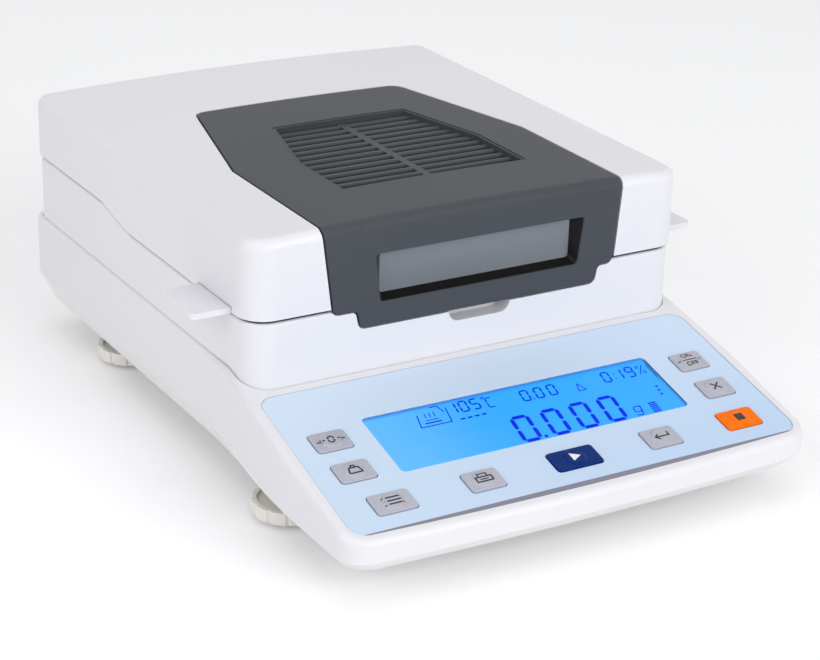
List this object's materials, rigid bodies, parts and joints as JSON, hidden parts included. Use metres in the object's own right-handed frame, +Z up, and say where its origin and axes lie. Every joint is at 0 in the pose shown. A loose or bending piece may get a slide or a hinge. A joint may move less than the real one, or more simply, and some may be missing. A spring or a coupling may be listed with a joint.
{
  "type": "moisture analyzer",
  "caption": "Benchtop moisture analyzer: balance base with sloping key console and display, weighing chamber with pan, hinged heated lid with slatted vent and window, levelling feet.",
  "frame": {"origin": "on the floor under the middle of the outer box, with the lid closed", "axes": "+X right seen from the front, the console faces -Y, +Z up"},
  "size_m": [0.2492, 0.329, 0.12],
  "materials": {
    "white_shell": "fine matt",
    "white_shell_grey": "fine matt",
    "dark_plastic": "fine matt",
    "tinted_glass": "smooth",
    "overlay_blue": "satin",
    "clear_window": "smooth",
    "display_blue": "backlit",
    "steel": "brushed",
    "pan_aluminium": "pressed",
    "lamp_glass": "frosted",
    "aluminium": "machined",
    "board_green": "solder mask",
    "black_plastic": "matt",
    "vial_fluid": "smooth",
    "key_grey": "satin",
    "key_navy": "satin",
    "key_orange": "satin",
    "rubber": "matt",
    "foot_beige": "matt"
  },
  "bodies": {
    "base": {"base_housing": "white_shell", "bottom_tray": "white_shell_grey", "chamber_liner": "steel", "chamber_surround": "white_shell", "console_overlay": "overlay_blue", "data_port": "black_plastic", "display_window": "clear_window", "draft_shield": "steel", "hinge_pins": "steel", "key_board": "board_green", "lcd_module": "display_blue", "level_cup": "white_shell", "level_vial": "vial_fluid", "load_cell": "aluminium", "load_cell_frame": "aluminium", "main_board": "board_green", "pan_support": "steel", "power_inlet": "black_plastic", "power_supply": "board_green", "tray_screws": "steel"},
    "lid": {"lid_shell": "white_shell", "lid_cover": "dark_plastic", "vent_grille": "dark_plastic", "window_pane": "tinted_glass", "lid_frame": "white_shell", "lid_screws": "steel", "reflector": "steel", "halogen_lamp": "lamp_glass", "lamp_clips": "steel", "heat_shield": "steel", "temperature_sensor": "steel"},
    "pan": {"sample_pan": "pan_aluminium"},
    "key_cal": {"key_cal": "key_grey"},
    "key_enter": {"key_enter": "key_grey"},
    "key_esc": {"key_esc": "key_grey"},
    "key_onoff": {"key_onoff": "key_grey"},
    "key_print": {"key_print": "key_grey"},
    "key_program": {"key_program": "key_grey"},
    "key_start": {"key_start": "key_navy"},
    "key_stop": {"key_stop": "key_orange"},
    "key_tare": {"key_tare": "key_grey"},
    "foot_front_left": {"foot_pad_front_left": "rubber"},
    "thumbwheel_front_left": {"foot_wheel_front_left": "foot_beige"},
    "foot_front_right": {"foot_pad_front_right": "rubber"},
    "thumbwheel_front_right": {"foot_wheel_front_right": "foot_beige"},
    "foot_rear_left": {"foot_pad_rear_left": "rubber"},
    "thumbwheel_rear_left": {"foot_wheel_rear_left": "foot_beige"},
    "foot_rear_right": {"foot_pad_rear_right": "rubber"},
    "thumbwheel_rear_right": {"foot_wheel_rear_right": "foot_beige"}
  },
  "joints": [
    {"name": "lid_hinge", "type": "hinge", "parent": "base", "child": "lid", "pos_m": [0, 0.156, 0.0838], "axis": [-1, 0, 0], "range_deg": [0, 75]},
    {"name": "pan_lift", "type": "slide", "parent": "base", "child": "pan", "axis": [0, 0, 1], "range_m": [0, 0.012]},
    {"name": "key_cal_press", "type": "slide", "parent": "base", "child": "key_cal", "axis": [0, 0.2419, -0.9703], "range_m": [0, 0.0004], "stiffness_N_per_m": 600, "springref_m": -0.001},
    {"name": "key_enter_press", "type": "slide", "parent": "base", "child": "key_enter", "axis": [0, 0.2419, -0.9703], "range_m": [0, 0.0004], "stiffness_N_per_m": 600, "springref_m": -0.001},
    {"name": "key_esc_press", "type": "slide", "parent": "base", "child": "key_esc", "axis": [0, 0.2419, -0.9703], "range_m": [0, 0.0004], "stiffness_N_per_m": 600, "springref_m": -0.001},
    {"name": "key_onoff_press", "type": "slide", "parent": "base", "child": "key_onoff", "axis": [0, 0.2419, -0.9703], "range_m": [0, 0.0004], "stiffness_N_per_m": 600, "springref_m": -0.001},
    {"name": "key_print_press", "type": "slide", "parent": "base", "child": "key_print", "axis": [0, 0.2419, -0.9703], "range_m": [0, 0.0004], "stiffness_N_per_m": 600, "springref_m": -0.001},
    {"name": "key_program_press", "type": "slide", "parent": "base", "child": "key_program", "axis": [0, 0.2419, -0.9703], "range_m": [0, 0.0004], "stiffness_N_per_m": 600, "springref_m": -0.001},
    {"name": "key_start_press", "type": "slide", "parent": "base", "child": "key_start", "axis": [0, 0.2419, -0.9703], "range_m": [0, 0.0004], "stiffness_N_per_m": 600, "springref_m": -0.001},
    {"name": "key_stop_press", "type": "slide", "parent": "base", "child": "key_stop", "axis": [0, 0.2419, -0.9703], "range_m": [0, 0.0004], "stiffness_N_per_m": 600, "springref_m": -0.001},
    {"name": "key_tare_press", "type": "slide", "parent": "base", "child": "key_tare", "axis": [0, 0.2419, -0.9703], "range_m": [0, 0.0004], "stiffness_N_per_m": 600, "springref_m": -0.001},
    {"name": "foot_front_left_height", "type": "slide", "parent": "base", "child": "foot_front_left", "axis": [0, 0, -1], "range_m": [0, 0.005]},
    {"name": "foot_front_left_turn", "type": "hinge", "parent": "foot_front_left", "child": "thumbwheel_front_left", "pos_m": [-0.092, -0.076, 0.005], "axis": [0, 0, -1], "range_deg": [0, 1445]},
    {"name": "foot_front_right_height", "type": "slide", "parent": "base", "child": "foot_front_right", "axis": [0, 0, -1], "range_m": [0, 0.005]},
    {"name": "foot_front_right_turn", "type": "hinge", "parent": "foot_front_right", "child": "thumbwheel_front_right", "pos_m": [0.092, -0.076, 0.005], "axis": [0, 0, -1], "range_deg": [0, 1445]},
    {"name": "foot_rear_left_height", "type": "slide", "parent": "base", "child": "foot_rear_left", "axis": [0, 0, -1], "range_m": [0, 0.005]},
    {"name": "foot_rear_left_turn", "type": "hinge", "parent": "foot_rear_left", "child": "thumbwheel_rear_left", "pos_m": [-0.084, 0.1016, 0.005], "axis": [0, 0, -1], "range_deg": [0, 1445]},
    {"name": "foot_rear_right_height", "type": "slide", "parent": "base", "child": "foot_rear_right", "axis": [0, 0, -1], "range_m": [0, 0.005]},
    {"name": "foot_rear_right_turn", "type": "hinge", "parent": "foot_rear_right", "child": "thumbwheel_rear_right", "pos_m": [0.084, 0.1016, 0.005], "axis": [0, 0, -1], "range_deg": [0, 1445]}
  ],
  "couplings": [
    {"joint": "foot_front_left_turn", "follows": "foot_front_left_height", "rad_per_m": 5026.5},
    {"joint": "foot_front_right_turn", "follows": "foot_front_right_height", "rad_per_m": 5026.5},
    {"joint": "foot_rear_left_turn", "follows": "foot_rear_left_height", "rad_per_m": 5026.5},
    {"joint": "foot_rear_right_turn", "follows": "foot_rear_right_height", "rad_per_m": 5026.5}
  ]
}
